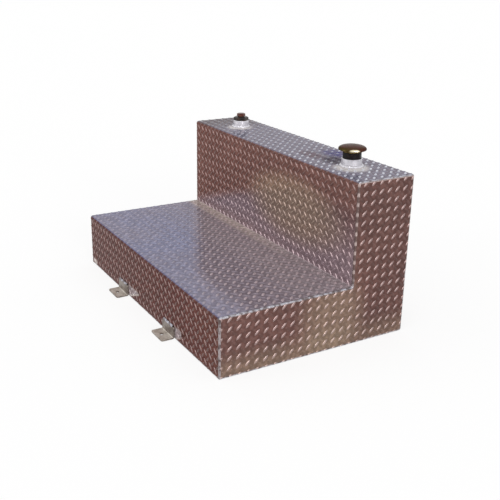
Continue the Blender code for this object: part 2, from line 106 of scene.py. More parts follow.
class Maker:
    """Adds nodes to a node tree."""

    def __init__(self, tree):
        self.tree = tree

    def node(self, kind, settings=None, sockets=None):
        """Adds a node: its settings come first, then the value or the link of each of its sockets."""
        made = self.tree.nodes.new("ShaderNode" + kind)
        for key, value in (settings or {}).items():
            setattr(made, key, value)
        for key, value in (sockets or {}).items():
            self.join(made.inputs[key], value)
        return made

    def join(self, target, value):
        if isinstance(value, Value):
            value = value.socket
        if isinstance(value, bpy.types.NodeSocket):
            self.tree.links.new(value, target)
        else:
            target.default_value = value

    def maths(self, operation, first, second=0.0):
        made = self.node("Math", {"operation": operation}, {0: first, 1: second})
        return Value(self, made.outputs["Value"])


class Finish(Maker):
    """A material that is built up around one Principled shader."""

    def __init__(self, name):
        self.material = bpy.data.materials.new(name)
        self.material.use_nodes = True
        super().__init__(self.material.node_tree)
        self.shader = self.tree.nodes["Principled BSDF"]

    def surface(self, **sockets):
        """Sets the shader's sockets, written as names with underscores for spaces."""
        for key, value in sockets.items():
            self.join(self.shader.inputs[key.replace("_", " ").title().replace("Ior", "IOR")], value)
        return self.material

    def axes(self):
        """The three coordinates of a point on the piece, in metres."""
        spot = self.node("TexCoord").outputs["Object"]
        parts = self.node("SeparateXYZ", {}, {"Vector": spot}).outputs
        return [Value(self, parts[name]) for name in "XYZ"]

    def vector(self, *parts):
        """Three values put together as one place."""
        return self.node("CombineXYZ", {}, dict(zip("XYZ", parts))).outputs["Vector"]

    def facing(self, name):
        """How far the surface faces along X, Y or Z, from -1 to 1."""
        normal = self.node("NewGeometry").outputs["Normal"]
        return Value(self, self.node("SeparateXYZ", {}, {"Vector": normal}).outputs[name])

    def noise(self, scale, detail=2.0, stretch=(1, 1, 1), spot=None):
        """Soft random values round 0.5, stretched along X, Y and Z."""
        spot = spot or self.node("TexCoord").outputs["Object"]
        stretched = self.node("VectorMath", {"operation": "MULTIPLY"}, {0: spot, 1: stretch})
        sockets = {"Vector": stretched.outputs["Vector"], "Scale": scale, "Detail": detail}
        return Value(self, self.node("TexNoise", {}, sockets).outputs["Fac"])

    def ramp(self, value, low, high):
        """0 where value is under low, 1 where it is over high, and smooth between."""
        settings = {"interpolation_type": "SMOOTHSTEP"}
        sockets = {"Value": value, "From Min": low, "From Max": high}
        return Value(self, self.node("MapRange", settings, sockets).outputs["Result"])

    def patch(self, across, up, middle, size):
        """1 in the middle of an oval on the sheet and 0 outside it."""
        far_across = (across - middle[0]) / size[0]
        far_up = (up - middle[1]) / size[1]
        return 1 - self.ramp(far_across * far_across + far_up * far_up, 0.0, 1.0)

    def blend(self, share, first, second):
        """A colour between two others."""
        made = self.node("Mix", {"data_type": "RGBA"}, {"Factor": share})
        self.join(made.inputs[6], first)
        self.join(made.inputs[7], second)
        return made.outputs[2]

    def bump(self, height, distance):
        """A normal tilted by a height map, where distance is the height of a value of 1, in metres."""
        return self.node("Bump", {}, {"Height": height, "Distance": distance}).outputs["Normal"]


def shade(red, green, blue):
    """A colour read off as 0 to 255 sRGB, in the linear form that a socket takes."""
    linear = []
    for part in (red, green, blue):
        part /= 255
        linear.append(part / 12.92 if part <= 0.04045 else ((part + 0.055) / 1.055) ** 2.4)
    return (*linear, 1.0)


# The sheet's colours are painted reflections: brown where it stands upright and blue-grey where it lies
# flat, as the bright metal mirrors what stands round it. Glows, glints and a shadow are painted on it
# too.
BLACK = shade(0, 0, 0)
WALL_MIRROR_DARK = shade(101, 75, 71)
WALL_MIRROR_RED = shade(118, 86, 80)
END_GLOW_TAN = shade(144, 122, 106)
FRONT_MIRROR_RED = shade(102, 69, 62)
FRONT_MIRRORED_FOOT = shade(178, 166, 170)
FRONT_GLINT = shade(232, 226, 222)
RISER_MIRROR_RED = shade(148, 106, 97)
RISER_MAUVE = shade(180, 160, 168)
RISER_GLOW_TAN = shade(172, 148, 126)
DECK_MIRROR_BLUE = shade(150, 153, 182)
DECK_MIRROR_GREY = shade(156, 154, 176)
DECK_MAUVE = shade(154, 142, 153)
DECK_MIRROR_TAN = shade(214, 198, 188)
TOP_MIRROR_GREY = shade(137, 134, 152)
TOP_MIRROR_BROWN = shade(104, 96, 103)
BEND_MIRROR_BLUE = shade(102, 107, 146)
SHADOW_BLUE = shade(58, 54, 132)
SHADOW_PURPLE = shade(36, 8, 58)
SHADOW_RED = shade(92, 52, 66)
SEAT_GLARE = shade(228, 223, 222)
SHEET_GLOSS = shade(170, 120, 112)
MOTTLE_LEFT = 0.72
WALL_METAL = 0.42
FLAT_METAL = 0.18
FACES_UP = (0.35, 0.9)
LEVEL_AGAIN = (0.88, 0.97)
FACES_ASIDE = (0.5, 0.9)

# Where the parts of the sheet's colour begin and end, each as the two ends of a soft change in metres.
TOP_BEGINS = (0.45, 0.5)
FRONT_ENDS = (-0.3, -0.2)
FRONT_BEND_ENDS = (-0.334, -0.332)
FRONT_PALES = (0.20, 0.50)
RISER_BEGINS = (0.0, 0.1)
RISER_ENDS = (0.2, 0.3)
RISER_CLEARS = (0.22, 0.48)
DECK_WARMS = (-0.14, 0.05)
DECK_BAND = (0.070, 0.100)
DECK_BAND_FADES = (-0.2, 0.3)
TOP_GREYS = (-0.50, -0.26)
END_FOOT = (0.01, 0.10)
END_FRONT = 0.12

# Ovals on the sheet, each as its middle and its half size.
# The corner oval is a painted glint, the end and riser ones painted glows, the red, blue and purple
# ones a painted shadow beside the filler, and the seats are painted bright with the bungs' reflection.
CORNER_GLINT = ((-0.498, 0.014), (0.024, 0.014))
END_GLOW = ((0.055, 0.115), (0.15, 0.16))
RISER_GLOW = ((0.19, 0.355), (0.34, 0.14))
RED_SHADOW_PATCH = ((0.175, 0.205), (0.090, 0.036))
BLUE_SHADOW_PATCH = ((0.205, 0.292), (0.090, 0.056))
PURPLE_SHADOW_PATCH = ((0.282, 0.230), (0.074, 0.056))
FILLER_SEAT = ((0.3780, 0.218), (0.078, 0.078))
PORT_SEAT = ((-0.3400, 0.220), (0.062, 0.062))
SEAT_GROUND = (0.0, 0.95)

# What the bright sheet mirrors is painted on it, up to slanting lines: mauve behind one on the deck and
# under one on the riser, and each bracket's foot above one beside it, with a thin painted glint along
# it.
DECK_SLANT = 0.505
DECK_MAUVES = (-0.185, -0.100)
DECK_FRONT_FADES = (-0.30, -0.20)
RISER_SLANT = 0.334
RISER_SLANT_HEIGHT = 0.375
RISER_MAUVE_ENDS = (-0.03, 0.035)
BRACKET_SLANT = 0.41
# Each bracket's right edge, how far its mirrored foot reaches from it, and how brightly it glints.
BRACKET_REACHES = (
    (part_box("left_bracket")[1].x, 0.110, 1.0),
    (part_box("right_bracket")[1].x, 0.055, 0.45),
)
MIRROR_SIDE = (-0.004, 0.004)
MIRROR_ENDS = 0.7
MIRROR_TOP = (0.036, 0.050)
GLINT_BEGINS = (-0.004, 0.002)
MIRROR_BEGINS = (0.002, 0.008)


def plate_masks(finish):
    """Where a point of the sheet is, and how much it belongs to each part of the tank, from 0 to 1."""
    x, y, z = finish.axes()
    at = SimpleNamespace(x=x, y=y, z=z)
    at.flat = finish.ramp(finish.facing("Z"), *FACES_UP)
    at.high = finish.ramp(z, *TOP_BEGINS)
    at.on_end = finish.ramp(abs(finish.facing("X")), *FACES_ASIDE)
    at.past_deck = finish.ramp(y, *RISER_BEGINS) * (1 - at.on_end)
    at.on_riser = at.past_deck * (1 - finish.ramp(y, *RISER_ENDS))
    at.on_front = (1 - finish.ramp(y, *FRONT_ENDS)) * (1 - at.on_end)
    # Seats round the bungs, where the lugs are ground off: the sheet is rougher there, and painted
    # bright with the bungs' reflection.
    seats = finish.patch(x, y, *FILLER_SEAT) + finish.patch(x, y, *PORT_SEAT)
    at.ground_off = finish.ramp(seats, *SEAT_GROUND) * at.flat * at.high
    return at


def behind(finish, at):
    """1 on the part of the deck that mirrors the riser, and less on its bluer front and left."""
    past_line = finish.ramp(at.x * DECK_SLANT + at.y, *DECK_MAUVES)
    return past_line * (finish.ramp(at.y, *DECK_FRONT_FADES) * 0.7 + 0.3)


def wall_colour(finish, at, drift):
    """Painted reflections: brown, with a tan glow on end and riser, mauve low on the riser, a glint at
    the front corner, and the brackets' feet mirrored beside them.
    """
    wall = finish.blend(drift, WALL_MIRROR_DARK, WALL_MIRROR_RED)
    wall = finish.blend(at.on_front * (1 - finish.ramp(at.x, *FRONT_PALES) * 0.5), wall, FRONT_MIRROR_RED)
    # A painted glint at the front wall's left corner.
    wall = finish.blend(finish.patch(at.x, at.z, *CORNER_GLINT) * at.on_front, wall, FRONT_GLINT)
    for edge, reach, bright in BRACKET_REACHES:
        aside = at.x - edge
        above = at.z - aside * BRACKET_SLANT
        # Beside each bracket, a painted reflection of its foot above a thin painted glint.
        foot_mirror = at.on_front * finish.ramp(aside, *MIRROR_SIDE) * (1 - finish.ramp(at.z, *MIRROR_TOP))
        foot_mirror = foot_mirror * (1 - finish.ramp(aside, reach * MIRROR_ENDS, reach))
        wall = finish.blend(foot_mirror * finish.ramp(above, *GLINT_BEGINS) * bright, wall, FRONT_GLINT)
        wall = finish.blend(foot_mirror * finish.ramp(above, *MIRROR_BEGINS), wall, FRONT_MIRRORED_FOOT)
    # Painted glows on the end panel: a tan oval, and tan along its foot, more towards the front.
    glow = finish.patch(at.y, at.z, *END_GLOW)
    forward = finish.ramp(END_FRONT - at.y, 0.0, END_FRONT) * 0.3 + 0.7
    foot = (1 - finish.ramp(at.z, *END_FOOT)) * forward
    wall = finish.blend((glow * 0.75 + foot * 0.7) * at.on_end, wall, END_GLOW_TAN)
    # Painted reflections on the riser: redder, mauve low down, and a tan glow.
    wall = finish.blend(at.on_riser * 0.38, wall, RISER_MIRROR_RED)
    above = at.z - at.x * RISER_SLANT - RISER_SLANT_HEIGHT
    mauve = (1 - finish.ramp(above, *RISER_MAUVE_ENDS)) * (1 - finish.ramp(at.z, *RISER_CLEARS))
    wall = finish.blend(mauve * at.on_riser * 0.85, wall, RISER_MAUVE)
    return finish.blend(finish.patch(at.x, at.z, *RISER_GLOW) * at.on_riser * 0.75, wall, RISER_GLOW_TAN)


def deck_colour(finish, at, drift):
    """Painted reflections: blue-grey, mauve where the riser shows in it, and a tan band along the
    riser's foot.
    """
    deck = finish.blend(drift, DECK_MIRROR_BLUE, DECK_MIRROR_GREY)
    deck = finish.blend(behind(finish, at), deck, DECK_MAUVE)
    deck = finish.blend(finish.ramp(at.y, *DECK_WARMS) * 0.16, deck, DECK_MIRROR_TAN)
    band = finish.ramp(at.y, *DECK_BAND) * (0.75 - finish.ramp(at.x, *DECK_BAND_FADES) * 0.62)
    return finish.blend(band, deck, DECK_MIRROR_TAN)


def top_colour(finish, at):
    """Painted reflections, grey and browner to the left, with a painted shadow beside the filler, and
    the seats ground round the bungs painted bright with the bungs' reflection.
    """
    patchy = finish.ramp(finish.noise(55.0, 2.0), 0.4, 0.6)
    red = finish.patch(at.x, at.y, *RED_SHADOW_PATCH) * (patchy * 0.3 + 0.5)
    blue = finish.patch(at.x, at.y, *BLUE_SHADOW_PATCH) * (patchy * 0.25 + 0.75)
    purple = finish.patch(at.x, at.y, *PURPLE_SHADOW_PATCH) * (patchy * 0.3 + 1.1)
    top = finish.blend(finish.ramp(at.x, *TOP_GREYS), TOP_MIRROR_BROWN, TOP_MIRROR_GREY)
    # A painted shadow beside the filler, in red, blue and purple.
    top = finish.blend(red, top, SHADOW_RED)
    top = finish.blend(blue, top, SHADOW_BLUE)
    # The ground seats round the bungs, painted bright with the bungs' reflection.
    top = finish.blend(at.ground_off, top, SEAT_GLARE)
    return finish.blend(purple, top, SHADOW_PURPLE)


def plate_colour(finish, at):
    """The colour of the whole sheet, with a blue painted reflection along the front bend and a fine
    mottle.
    """
    drift = finish.ramp(finish.noise(3.4, 3.0), 0.36, 0.66)
    level = finish.blend(at.high, deck_colour(finish, at, drift), top_colour(finish, at))
    bent = 1 - finish.ramp(finish.facing("Z"), *LEVEL_AGAIN)
    bent = bent * (1 - finish.ramp(at.y, *FRONT_BEND_ENDS))
    # A painted reflection along the front bend, in blue.
    level = finish.blend(bent * 0.65, level, BEND_MIRROR_BLUE)
    colour = finish.blend(at.flat, wall_colour(finish, at, drift), level)
    mottle = finish.ramp(finish.noise(62.0, 3.0), 0.42, 0.62)
    return finish.blend(mottle + at.ground_off * 0.6, finish.blend(MOTTLE_LEFT, BLACK, colour), colour)


def tread_sheet():
    """Bright rolled aluminium with the mill's rolling lines, fine scuffs and a slight wave, its colour
    painted with its reflections.
    """
    finish = Finish("tread_sheet")
    at = plate_masks(finish)
    rolled = finish.noise(70.0, 3.0, (0.05, 1.0, 1.0))
    scuffs = finish.noise(45.0, 5.0)
    wave = finish.noise(7.0, 1.0)
    return finish.surface(
        base_color=plate_colour(finish, at),
        metallic=at.flat * (FLAT_METAL - WALL_METAL) + WALL_METAL,
        roughness=rolled * 0.06 + scuffs * 0.08 + 0.05 + at.ground_off * 0.5,
        specular_ior_level=0.05,
        specular_tint=SHEET_GLOSS,
        normal=finish.bump(rolled * 0.05 + scuffs * 0.06 + wave, 0.0007),
    )


def dress(node, material):
    """Gives a piece of the CAD model its material."""
    slots = frame["nodes"][node].data.materials
    slots.clear()
    slots.append(material)


SHEET_FINISH = tread_sheet()
for node in ("front_wrap", "back_wrap", "left_end_panel", "right_end_panel"):
    dress(node, SHEET_FINISH)

# The tread: rolled-up lugs 25 mm long, in pairs at right angles, which run over the sheets' folds and
# stop at the welds. The "/" lugs stand on a square grid and the others halfway between them. The lugs
# are ground off round the bungs, so that the welder gets a flat seat, and behind the brackets.
LUG_PITCH = 0.0309
LUG_LENGTH = 0.0250
LUG_WIDTH = 0.0088
LUG_HEIGHT = 0.0016
LUG_SUNK = 0.00015
LUG_BLUNT = 3.2
LUG_ROUND = 0.8
LUG_STATIONS = (-0.88, -0.5, 0.0, 0.5, 0.88)
LUG_SIDE = ((0.30, 0.93), (0.66, 0.50), (1.0, 0.0))
LUG_ACROSS = (*((-share, rise) for share, rise in reversed(LUG_SIDE)), (0.0, 1.0), *LUG_SIDE)
LIT_LEAN = "wear_and_sheen"
GROUND_INSIDE = 0.040
GROUND_OUTSIDE = 0.056
BRACKET_SIDE_GAP = 0.004
BRACKET_TOP_GAP = 0.006
BUNG_BOXES = [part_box(name) for name in ("filler_bung", "port_bung")]
BRACKET_BOXES = [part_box(name) for name in ("left_bracket", "right_bracket")]
# Colours of the lugs' painted highlight.
LUG_HIGHLIGHT_WALL = shade(204, 182, 180)
LUG_HIGHLIGHT_DECK = shade(206, 186, 190)
LUG_HIGHLIGHT_TOP = shade(218, 220, 232)
# The painted shadow beside the filler, where the lugs' painted highlight is weaker.
WHOLE_SHADOW_PATCH = ((0.235, 0.250), (0.130, 0.085))


class Fold:
    """The outside of a folded sheet: it turns a distance along the developed sheet into a place."""

    def __init__(self, corners):
        self.runs = []
        self.length = 0.0
        spot = Vector(corners[0][:2])
        for k in range(1, len(corners)):
            corner = Vector(corners[k][:2])
            way = (corner - spot).normalized()
            if k == len(corners) - 1:
                self.straight(spot, corner)
                break
            onward = (Vector(corners[k + 1][:2]) - corner).normalized()
            radius = corners[k][2]
            self.straight(spot, corner - way * radius)
            side = 1.0 if way.x * onward.y - way.y * onward.x > 0 else -1.0
            self.arc(corner - way * radius + onward * radius, way, radius, side)
            spot = corner + onward * radius

    def straight(self, start, end):
        way = (end - start).normalized()
        self.runs.append((self.length, "straight", start, way, 0.0, 0.0))
        self.length += (end - start).length

    def arc(self, centre, way, radius, side):
        self.runs.append((self.length, "arc", centre, way, radius, side))
        self.length += radius * math.pi / 2

    def at(self, distance):
        """The (y, z) place and the outward normal at a distance along the sheet."""
        run = self.runs[0]
        for later in self.runs:
            if later[0] <= distance:
                run = later
        begin, kind, spot, way, radius, side = run
        if kind == "straight":
            return spot + way * (distance - begin), Vector((-way.y, way.x))
        turn = side * (distance - begin) / radius
        cosine, sine = math.cos(turn), math.sin(turn)
        towards = Vector((way.x * cosine - way.y * sine, way.x * sine + way.y * cosine))
        normal = Vector((-towards.y, towards.x))
        return spot - normal * radius * side, normal


def lug_mesh(shape, across, along, lean, wear_and_sheen):
    """Adds one lug on the flat sheet, at (across, along), leaning by lean radians. Z is its height."""
    cosine, sine = math.cos(lean), math.sin(lean)
    mark = shape.verts.layers.float[LIT_LEAN]

    def vert(u, v, height):
        made = shape.verts.new((across + u * cosine - v * sine, along + u * sine + v * cosine, height))
        # 1 marks a lug of the lean that takes the painted highlight.
        made[mark] = wear_and_sheen
        return made

    half = LUG_LENGTH / 2
    first = vert(-half, 0.0, -LUG_SUNK)
    rows = []
    for station in LUG_STATIONS:
        swell = (1 - abs(station) ** LUG_BLUNT) ** LUG_ROUND
        wide = LUG_WIDTH / 2 * swell
        crown = LUG_HEIGHT * swell
        places = [(share * wide, crown * rise - LUG_SUNK) for share, rise in LUG_ACROSS]
        rows.append([vert(station * half, v, height) for v, height in places])
    last = vert(half, 0.0, -LUG_SUNK)
    for row, after in zip(rows, rows[1:]):
        for k in range(len(row) - 1):
            shape.faces.new((row[k], after[k], after[k + 1], row[k + 1]))
    for k in range(len(LUG_ACROSS) - 1):
        shape.faces.new((first, rows[0][k], rows[0][k + 1]))
        shape.faces.new((last, rows[-1][k + 1], rows[-1][k]))


def new_field():
    """An empty mesh whose points can be marked to take the lugs' painted highlight."""
    shape = bmesh.new()
    shape.verts.layers.float.new(LIT_LEAN)
    return shape


def lug_field(low, high, keep, lit_lean):
    """Lugs over a flat sheet from low to high, where keep(across, along) says so."""
    shape = new_field()
    reach = LUG_LENGTH / 2
    counts = []
    for start, end in zip(low, high):
        count = math.floor((start - reach) / LUG_PITCH)
        counts.append(range(count, math.ceil((end + reach) / LUG_PITCH) + 1))
    for i in counts[0]:
        for j in counts[1]:
            for half, lean in ((0.0, math.pi / 4), (0.5, -math.pi / 4)):
                across = (i + half) * LUG_PITCH
                along = (j + half) * LUG_PITCH
                if keep(across, along):
                    # Only lugs of the lit lean are marked for the painted highlight.
                    lug_mesh(shape, across, along, lean, 1.0 if lean * lit_lean > 0 else 0.0)
    return shape


def trim(shape, axis, limit, outside):
    """Cuts off what lies past a limit, outside being 1 for above it and -1 for below."""
    plane = [0.0, 0.0, 0.0]
    plane[axis] = limit
    normal = [0.0, 0.0, 0.0]
    normal[axis] = outside
    geometry = list(shape.verts) + list(shape.edges) + list(shape.faces)
    bmesh.ops.bisect_plane(shape, geom=geometry, plane_co=plane, plane_no=normal, clear_outer=True)


def trim_edges(shape, low, high):
    """Cuts off what lies past the four edges of a flat sheet."""
    for axis in (0, 1):
        trim(shape, axis, high[axis], 1)
        trim(shape, axis, low[axis], -1)


def ground(x, y, z):
    """How much of a lug is left at a place on the tank: 0 where it is ground off and 1 elsewhere."""
    left = 1.0
    if z > TANK_HEIGHT - OUTER_BEND:
        for low, high in BUNG_BOXES:
            away = math.hypot(x - (low.x + high.x) / 2, y - (low.y + high.y) / 2)
            share = (away - GROUND_INSIDE) / (GROUND_OUTSIDE - GROUND_INSIDE)
            left = min(left, max(0.0, min(1.0, share)))
    for low, high in BRACKET_BOXES:
        beside = low.x - BRACKET_SIDE_GAP < x < high.x + BRACKET_SIDE_GAP
        if beside and y < -HALF_DEPTH + OUTER_BEND and z < high.z + BRACKET_TOP_GAP:
            left = 0.0
    return left


def make_piece(name, shape, material):
    """Turns a finished shape into a smooth piece that rides on the tank."""
    mesh = bpy.data.meshes.new(name)
    shape.to_mesh(mesh)
    shape.free()
    mesh.shade_smooth()
    mesh.materials.append(material)
    piece = bpy.data.objects.new(name, mesh)
    bpy.context.scene.collection.objects.link(piece)
    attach(piece, "tank")
    return piece


def finish_lugs(name, shape, place):
    """Folds the flat field of lugs on to the tank, without the lugs that are ground off."""
    gone = set()
    for vert in shape.verts:
        spot, normal = place(vert.co.x, vert.co.y)
        left = ground(*spot)
        vert.co = spot + normal * (vert.co.z * left - LUG_SUNK * (1 - left))
        if left == 0.0:
            gone.add(vert)
    buried = [face for face in shape.faces if gone.issuperset(face.verts)]
    bmesh.ops.delete(shape, geom=buried, context="FACES")
    make_piece(name, shape, LUG_FINISH)


def lug_finish():
    """The lugs, in the colour of the sheet round them but lighter: a painted highlight, on the lugs of
    one lean.
    """
    finish = Finish("tread_lugs")
    at = plate_masks(finish)
    rub = finish.ramp(finish.noise(160.0, 3.0), 0.35, 0.65)
    wear_and_sheen = Value(finish, finish.node("Attribute", {"attribute_name": LIT_LEAN}).outputs["Fac"])
    rightward = finish.ramp(at.x, -0.5, 0.5)
    # Less painted highlight inside the painted shadow beside the filler.
    shadowed = finish.patch(at.x, at.y, *WHOLE_SHADOW_PATCH)
    on_wall = (1 - at.flat) * (0.34 - at.past_deck * 0.12 - at.on_front * 0.08)
    on_deck = (1 - at.high) * at.flat * (behind(finish, at) * 0.42 + 0.20)
    on_top = at.high * at.flat * (rightward * 0.50 + 0.20) * (1 - shadowed * 0.85)
    # The painted highlight: lugs of one lean lighter, as where the light catches them.
    shows = wear_and_sheen * (on_wall + on_deck + on_top) * (rub * 0.3 + 0.85)
    bright = finish.blend(at.flat, LUG_HIGHLIGHT_WALL, LUG_HIGHLIGHT_DECK)
    bright = finish.blend(at.high * at.flat, bright, LUG_HIGHLIGHT_TOP)
    return finish.surface(
        base_color=finish.blend(shows + on_top * 0.15, plate_colour(finish, at), bright),
        metallic=at.flat * (FLAT_METAL - WALL_METAL) + WALL_METAL,
        roughness=rub * 0.10 + 0.26,
        specular_ior_level=0.2,
        normal=finish.bump(finish.noise(220.0, 2.0), 0.00012),
    )


LUG_FINISH = lug_finish()
front_fold = Fold(
    [
        (-HALF_DEPTH, FRONT_LOW.z),
        (-HALF_DEPTH, DECK_HEIGHT, OUTER_BEND),
        (RISER_Y, DECK_HEIGHT, INNER_BEND),
        (RISER_Y, TANK_HEIGHT, OUTER_BEND),
        (FRONT_HIGH.y, TANK_HEIGHT),
    ]
)
back_fold = Fold([(HALF_DEPTH, BACK_HIGH.z), (HALF_DEPTH, 0.0, OUTER_BEND), (BACK_LOW.y, 0.0)])
for name, fold in (("front_wrap_lugs", front_fold), ("back_wrap_lugs", back_fold)):
    def fold_place(across, along, fold=fold):
        spot, normal = fold.at(along)
        return Vector((across, spot.x, spot.y)), Vector((0.0, normal.x, normal.y))

    low, high = (-WRAP_END, 0.0), (WRAP_END, fold.length)
    field = lug_field(low, high, lambda across, along: True, -1)
    trim_edges(field, low, high)
    finish_lugs(name, field, fold_place)

STEP_INSET = PANEL_LOW.z


def panel_lugs(side):
    """Lugs on an end panel, seen from outside, cut along the step that deck and riser make in it."""
    low = (min(side * PANEL_LOW.y, side * PANEL_HIGH.y), PANEL_LOW.z)
    high = (max(side * PANEL_LOW.y, side * PANEL_HIGH.y), PANEL_HIGH.z)
    step_y, step_z = RISER_Y + STEP_INSET, DECK_HEIGHT - STEP_INSET

    def above(along):
        return along - step_z

    def before(across):
        return step_y - side * across

    zones = (
        (lambda a, b: before(a) <= 0 and above(b) <= 0, None),
        (lambda a, b: before(a) > 0 and above(b) <= before(a), (1, step_z, 1)),
        (lambda a, b: above(b) > 0 and above(b) > before(a), (0, side * step_y, -side)),
    )
    whole = new_field()
    for keep, cut in zones:
        field = lug_field(low, high, keep, 1)
        if cut:
            trim(field, *cut)
        joined = bpy.data.meshes.new("zone")
        field.to_mesh(joined)
        field.free()
        whole.from_mesh(joined)
        bpy.data.meshes.remove(joined)
    trim_edges(whole, low, high)
    return whole


for name, side in (("left_end_lugs", -1), ("right_end_lugs", 1)):
    def end_place(across, along, side=side):
        return Vector((side * HALF_LENGTH, across * side, along)), Vector((side, 0.0, 0.0))

    finish_lugs(name, panel_lugs(side), end_place)

# The welds: TIG beads that fill the open corner joints, and fillets round what stands on the tank. The
# rod went in every few millimetres, which leaves overlapping ripples like a row of fallen coins. The
# beads along the base are ground flat, because the tank stands on them.
BEAD_REACH = 0.0062
BEAD_PROUD = 0.0005
BEAD_POINTS = 8
FILLET_REACH = 0.0060
FILLET_HOLLOW = 1.5
RIPPLE_PITCH = 0.0042
RIPPLE_DEPTH = 0.0005
RIPPLE_STEPS = 5
RIPPLE_BOW = 0.55
RIPPLE_WIDTHS = (0.93, 1.07)
RIPPLE_DEPTHS = (0.6, 1.3)
BEAD_LIGHT = shade(184, 184, 194)
BEAD_SOOT = shade(120, 110, 112)
# Upright beads are painted darker as reflection, and the dots up the riser are painted glints.
UPRIGHT_MIRROR_LIGHT = shade(150, 136, 134)
UPRIGHT_MIRROR_SOOT = shade(78, 62, 60)
DOT_GLINT = shade(172, 154, 150)
DOT_MIRROR_GAP = shade(98, 78, 74)
DOT_ENDS = (0.20, 0.42)
RING_BRIGHT = shade(214, 212, 218)
RING_BEGINS = (TANK_HEIGHT - 0.001, TANK_HEIGHT)
RING_FROM_END = 0.03
RISER_PASSED = (0.20, 0.24)


def bead_finish():
    """Bright aluminium with soot, near-white round the bungs, painted darker and browner as reflection
    where upright, with painted glints up the riser.
    """
    finish = Finish("weld_bead")
    x, _, z = finish.axes()
    sooty = finish.ramp(finish.noise(75.0, 3.0), 0.42, 0.62)
    upright = 1 - finish.ramp(abs(finish.facing("Z")), 0.25, 0.6)
    colour = finish.blend(sooty, BEAD_LIGHT, BEAD_SOOT)
    # Upright beads painted darker and browner, as reflection, with soot still in them.
    colour = finish.blend(upright * 0.8, colour, finish.blend(sooty, UPRIGHT_MIRROR_LIGHT, UPRIGHT_MIRROR_SOOT))
    # Painted glints at each lug up the riser's bead, with dark painted reflection between.
    dots = finish.ramp(abs(finish.maths("FRACT", z / LUG_PITCH) - 0.5), *DOT_ENDS)
    ring = finish.ramp(z, *RING_BEGINS) * finish.ramp(HALF_LENGTH - RING_FROM_END - abs(x), 0.0, 0.01)
    other = finish.blend(ring, finish.blend(dots, DOT_MIRROR_GAP, DOT_GLINT), RING_BRIGHT)
    riser_glints = upright * finish.ramp(z, *RISER_PASSED)
    return finish.surface(
        base_color=finish.blend(finish.ramp(riser_glints * 0.9 + ring, 0.0, 1.0), colour, other),
        metallic=0.6,
        roughness=finish.noise(300.0, 2.0) * 0.2 + 0.2,
        normal=finish.bump(finish.noise(900.0, 2.0), 0.00010),
    )


def bead(name, replaced, length, frame_at, inside=False, level=False, closed=False):
    """Sweeps a rippled bead along a corner. frame_at gives the corner and the ways along its sheets."""
    dice = random.Random(name)
    count = round(length / RIPPLE_PITCH)
    lively = [(dice.uniform(*RIPPLE_WIDTHS), dice.uniform(*RIPPLE_DEPTHS)) for _ in range(count)]
    steps = count * RIPPLE_STEPS
    shape = bmesh.new()
    rows = []
    for k in range(steps if closed else steps + 1):
        corner, one, other = frame_at(length * k / steps)
        row = []
        for j in range(BEAD_POINTS + 1):
            turn = j / BEAD_POINTS * math.pi / 2
            cosine, sine = math.cos(turn), math.sin(turn)
            middle = max(0.0, math.sin(2 * turn))
            phase = k / RIPPLE_STEPS + RIPPLE_BOW * middle
            wide, deep = lively[int(phase) % count]
            past = phase - int(phase)
            ripple = BEAD_PROUD + RIPPLE_DEPTH * deep * (1 - past * past)
            rise = middle ** 0.5 * ripple - LUG_SUNK * (1 - middle)
            if inside:
                reach = FILLET_REACH * wide
                along_one = reach * cosine ** FILLET_HOLLOW + rise * cosine
                along_other = reach * sine ** FILLET_HOLLOW + rise * sine
            else:
                reach = BEAD_REACH * wide
                along_one = reach * (1 - sine) - rise * sine
                along_other = reach * (1 - cosine) - rise * cosine
            spot = one * along_one + other * along_other + corner
            if level:
                spot.z = max(spot.z, 0.0)
            row.append(shape.verts.new(spot))
        rows.append(row)
    if closed:
        rows.append(rows[0])
    for row, after in zip(rows, rows[1:]):
        for j in range(BEAD_POINTS):
            shape.faces.new((row[j], row[j + 1], after[j + 1], after[j]))
    shape.faces.ensure_lookup_table()
    tested = shape.faces[BEAD_POINTS // 2]
    tested.normal_update()
    one, other = frame_at(0.0)[1:]
    outward = one + other if inside else -(one + other)
    if tested.normal.dot(outward) < 0:
        bmesh.ops.reverse_faces(shape, faces=shape.faces)
    piece = make_piece(name, shape, BEAD_FINISH)
    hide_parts(replaced)


BEAD_FINISH = bead_finish()
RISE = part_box("right_base_weld")[1].z
upper = Fold(
    [
        (-HALF_DEPTH, RISE),
        (-HALF_DEPTH, DECK_HEIGHT, OUTER_BEND),
        (RISER_Y, DECK_HEIGHT, INNER_BEND),
        (RISER_Y, TANK_HEIGHT, OUTER_BEND),
        (HALF_DEPTH, TANK_HEIGHT, OUTER_BEND),
        (HALF_DEPTH, RISE),
    ]
)
lower = Fold(
    [
        (HALF_DEPTH, RISE),
        (HALF_DEPTH, 0.0, OUTER_BEND),
        (-HALF_DEPTH, 0.0, OUTER_BEND),
        (-HALF_DEPTH, RISE),
    ]
)
for word, side in (("left", -1), ("right", 1)):
    for run, fold in (("end", upper), ("base", lower)):
        def end_corner(distance, fold=fold, side=side):
            spot, normal = fold.at(distance)
            return Vector((side * HALF_LENGTH, *spot)), Vector((-side, 0, 0)), Vector((0, *-normal))

        node = f"{word}_{run}_weld"
        bead(node + "_bead", node, fold.length, end_corner, level=run == "base")

for node, y, z, ways in (
    ("top_seam_weld", HALF_DEPTH, TANK_HEIGHT, (Vector((0, -1, 0)), Vector((0, 0, -1)))),
    ("base_seam_weld", -HALF_DEPTH, 0.0, (Vector((0, 1, 0)), Vector((0, 0, 1)))),
):
    def seam_corner(distance, y=y, z=z, ways=ways):
        return Vector((distance - WRAP_END, y, z)), *ways

    bead(node + "_bead", node, 2 * WRAP_END, seam_corner, level=z == 0.0)

